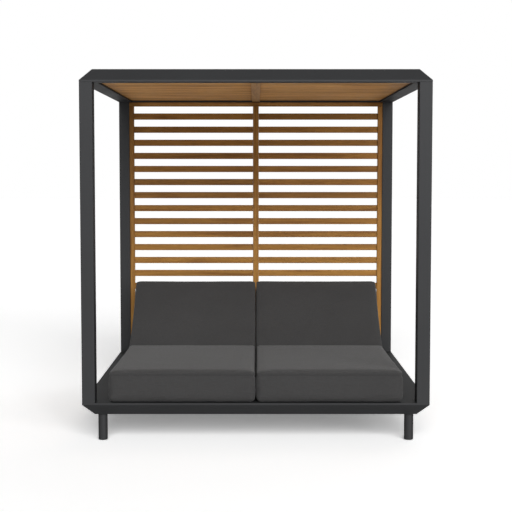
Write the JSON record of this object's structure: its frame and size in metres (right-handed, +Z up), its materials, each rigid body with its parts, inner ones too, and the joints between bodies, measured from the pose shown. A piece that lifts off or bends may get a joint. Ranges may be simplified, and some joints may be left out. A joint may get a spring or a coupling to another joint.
{
  "type": "outdoor daybed with canopy",
  "caption": "Square outdoor daybed: sloped-edge metal frame on legs, posts with a slatted wood roof and back, seat cushions, and two reclining backrests on folding props.",
  "frame": {"origin": "on the ground, below the middle of the frame", "axes": "+Z up, +Y to the slatted back, +X to the right of someone facing the bed from the front; the open front faces -Y"},
  "size_m": [2, 2.1, 2.146],
  "materials": {
    "frame_paint": "charcoal powder coat, fine texture, satin",
    "mechanism_steel": "satin stainless steel",
    "teak": "oiled teak, grain along each slat",
    "cushion_fabric": "charcoal outdoor fabric, plain weave, matt",
    "glide_plastic": "black moulded plastic"
  },
  "bodies": {
    "backrest_left_body": {"back_cushion_left": "cushion_fabric", "backrest_frame_left": "frame_paint", "prop_pin_left": "mechanism_steel"},
    "backrest_right_body": {"back_cushion_right": "cushion_fabric", "backrest_frame_right": "frame_paint", "prop_pin_right": "mechanism_steel"},
    "root": {"back_rail_bottom": "teak", "back_rail_top": "teak", "back_slats_left": "teak", "back_slats_right": "teak", "back_stile_centre": "teak", "base_rail_front": "frame_paint", "base_rail_left": "frame_paint", "base_rail_rear": "frame_paint", "base_rail_right": "frame_paint", "base_spine": "frame_paint", "glide_front_left": "glide_plastic", "glide_front_right": "glide_plastic", "glide_rear_left": "glide_plastic", "glide_rear_right": "glide_plastic", "hinge_beam_left": "frame_paint", "hinge_beam_right": "frame_paint", "hinge_bracket_inner_left": "mechanism_steel", "hinge_bracket_inner_right": "mechanism_steel", "hinge_bracket_outer_left": "mechanism_steel", "hinge_bracket_outer_right": "mechanism_steel", "hinge_pin_inner_left": "mechanism_steel", "hinge_pin_inner_right": "mechanism_steel", "hinge_pin_outer_left": "mechanism_steel", "hinge_pin_outer_right": "mechanism_steel", "leg_front_left": "frame_paint", "leg_front_right": "frame_paint", "leg_rear_left": "frame_paint", "leg_rear_right": "frame_paint", "post_front_left": "frame_paint", "post_front_right": "frame_paint", "post_plug_front_left": "frame_paint", "post_plug_front_right": "frame_paint", "post_plug_rear_left": "frame_paint", "post_plug_rear_right": "frame_paint", "post_rear_left": "frame_paint", "post_rear_right": "frame_paint", "prop_beam_left": "frame_paint", "prop_beam_right": "frame_paint", "prop_rack_left": "mechanism_steel", "prop_rack_right": "mechanism_steel", "roof_beam": "teak", "roof_rail_front": "frame_paint", "roof_rail_left": "frame_paint", "roof_rail_rear": "frame_paint", "roof_rail_right": "frame_paint", "roof_slats_left": "teak", "roof_slats_right": "teak", "seat_cushion_left": "cushion_fabric", "seat_cushion_right": "cushion_fabric", "seat_deck_left": "frame_paint", "seat_deck_right": "frame_paint"},
    "prop_left_body": {"prop_left": "mechanism_steel"},
    "prop_right_body": {"prop_right": "mechanism_steel"}
  },
  "joints": [
    {"name": "recline_left", "type": "hinge", "parent": "root", "child": "backrest_left_body", "pos_m": [-0.4275, 0.225, 0.22], "axis": [1, 0, 0], "range_deg": [-37, 8]},
    {"name": "prop_fold_left", "type": "hinge", "parent": "backrest_left_body", "child": "prop_left_body", "pos_m": [-0.4275, 0.48084, 0.37898], "axis": [1, 0, 0], "range_deg": [-16, 74]},
    {"name": "recline_right", "type": "hinge", "parent": "root", "child": "backrest_right_body", "pos_m": [0.4275, 0.225, 0.22], "axis": [1, 0, 0], "range_deg": [-37, 8]},
    {"name": "prop_fold_right", "type": "hinge", "parent": "backrest_right_body", "child": "prop_right_body", "pos_m": [0.4275, 0.48084, 0.37898], "axis": [1, 0, 0], "range_deg": [-16, 74]}
  ],
  "couplings": [
    {"joint": "prop_fold_left", "follows": "recline_left", "ratio": -2},
    {"joint": "prop_fold_right", "follows": "recline_right", "ratio": -2}
  ]
}
